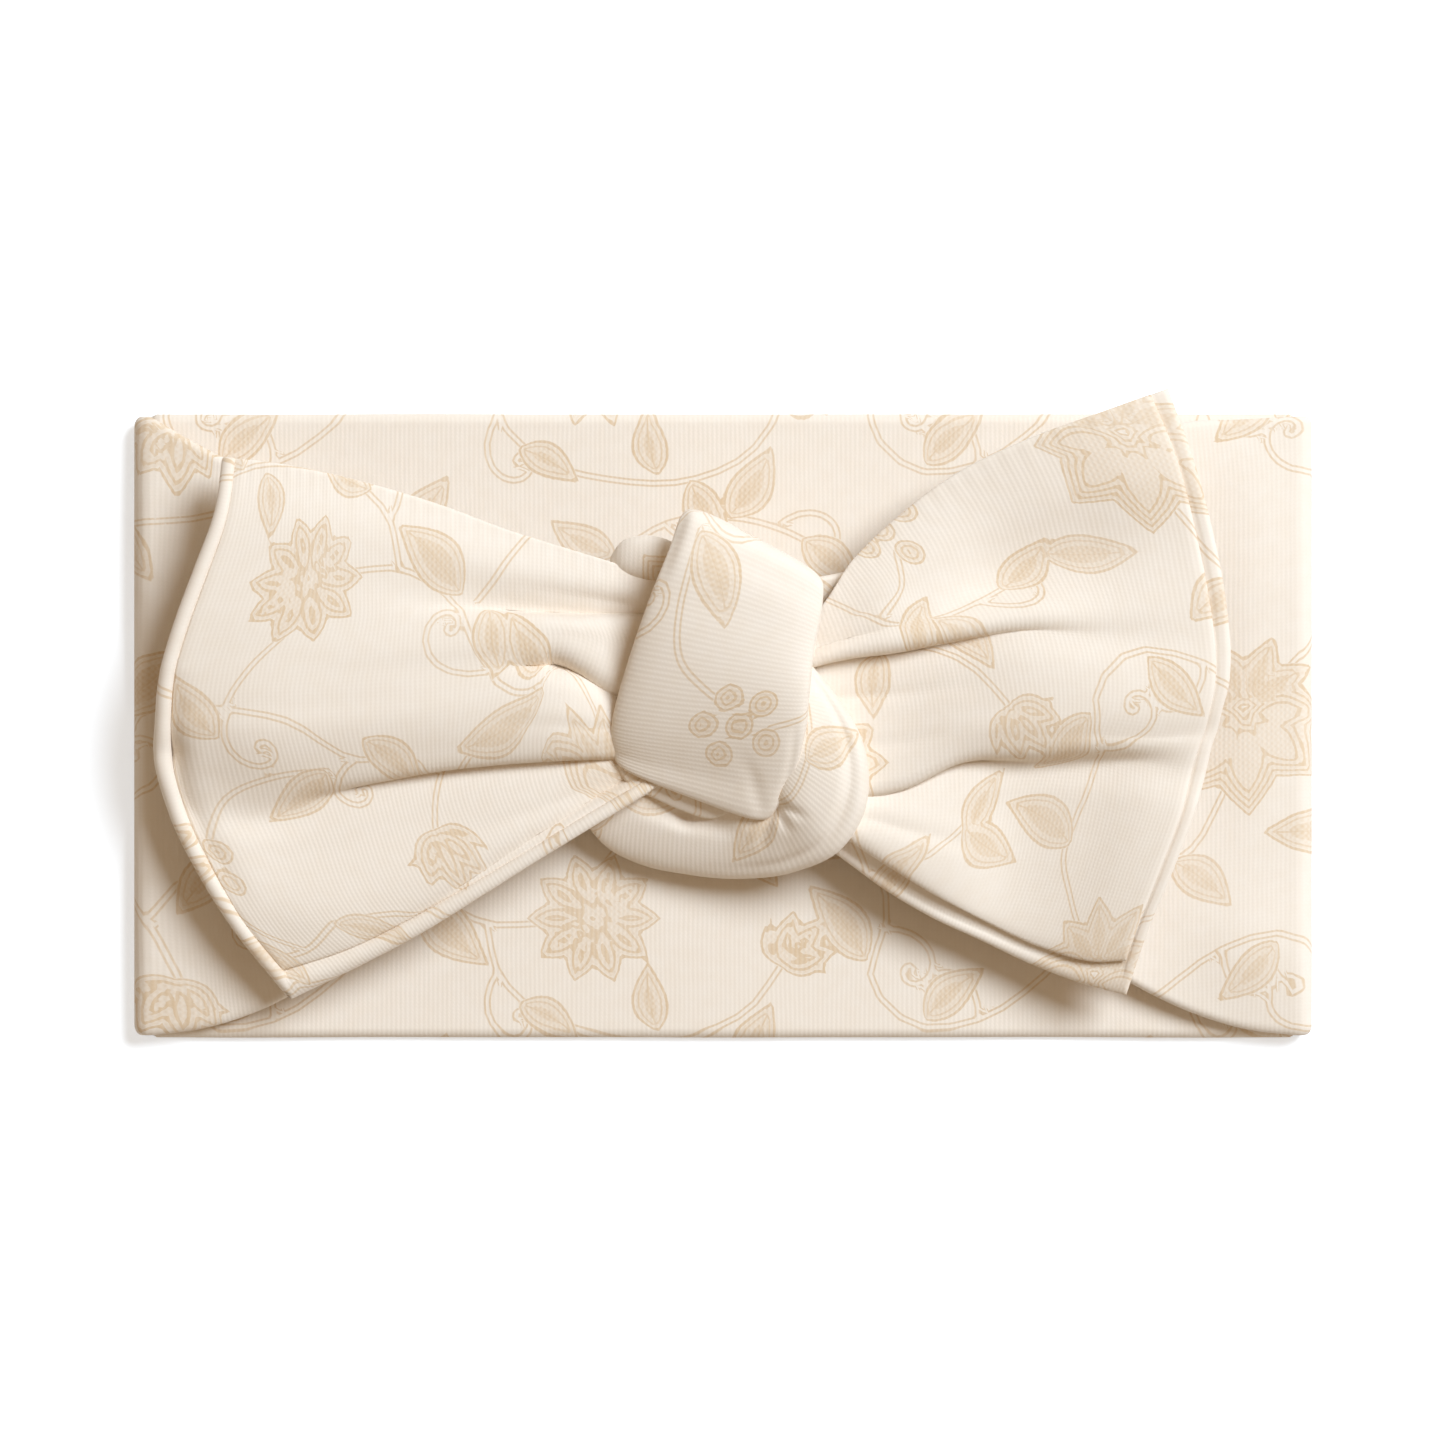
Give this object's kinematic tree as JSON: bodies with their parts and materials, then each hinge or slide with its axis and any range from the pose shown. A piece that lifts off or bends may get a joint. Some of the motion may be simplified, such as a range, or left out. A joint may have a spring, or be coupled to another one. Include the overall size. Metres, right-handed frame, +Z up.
{
  "type": "knotted headband",
  "caption": "Wide baby headband of double jersey, lying flat, its front half gathered under a tie that is knotted once and spread to both sides as a soft bow.",
  "frame": {"origin": "on the table, under the middle of the flattened loop", "axes": "+X along the flattened loop towards its right side fold, +Y across the band towards its upper edge, +Z up from the table through the knot"},
  "size_m": [0.19, 0.1031, 0.0284],
  "materials": {
    "printed_jersey": "matte cream knit with a tonal trailing-flower print",
    "lining_jersey": "matte cream knit, the same cloth seen from its other panel",
    "thread": "fine cream sewing thread"
  },
  "bodies": {
    "band_back": {"band_back_outer": "printed_jersey", "band_back_lining": "lining_jersey", "band_back_upper_seam_thread": "thread", "band_back_lower_seam_thread": "thread"},
    "front_half": {"band_front_left_outer": "printed_jersey", "band_front_left_lining": "lining_jersey", "band_front_left_upper_seam_thread": "thread", "band_front_left_lower_seam_thread": "thread", "band_front_right_outer": "printed_jersey", "band_front_right_lining": "lining_jersey", "band_front_right_upper_seam_thread": "thread", "band_front_right_lower_seam_thread": "thread", "band_gathered_core": "printed_jersey", "tie_back_pass": "printed_jersey", "knot_tack_thread": "thread", "knot_front_wrap": "printed_jersey", "knot_lower_roll": "printed_jersey", "knot_crossing_strand": "printed_jersey", "left_neck": "printed_jersey", "right_neck": "printed_jersey"},
    "left_tail": {"left_tail_front_panel": "printed_jersey", "left_tail_back_panel": "lining_jersey", "left_tail_end_seam_thread": "thread", "left_tail_lower_seam_thread": "thread"},
    "right_tail": {"right_tail_front_panel": "printed_jersey", "right_tail_back_panel": "lining_jersey", "right_tail_end_seam_thread": "thread", "right_tail_lower_seam_thread": "thread"}
  },
  "joints": [
    {"name": "loop_opening", "type": "slide", "parent": "band_back", "child": "front_half", "axis": [0, 0, 1], "range_m": [0, 0.04]},
    {"name": "left_tail_lift", "type": "hinge", "parent": "front_half", "child": "left_tail", "pos_m": [-0.022, 0, 0.019], "axis": [0, 1, 0], "range_deg": [0, 80]},
    {"name": "right_tail_lift", "type": "hinge", "parent": "front_half", "child": "right_tail", "pos_m": [0.027, 0, 0.019], "axis": [0, -1, 0], "range_deg": [0, 80]}
  ]
}
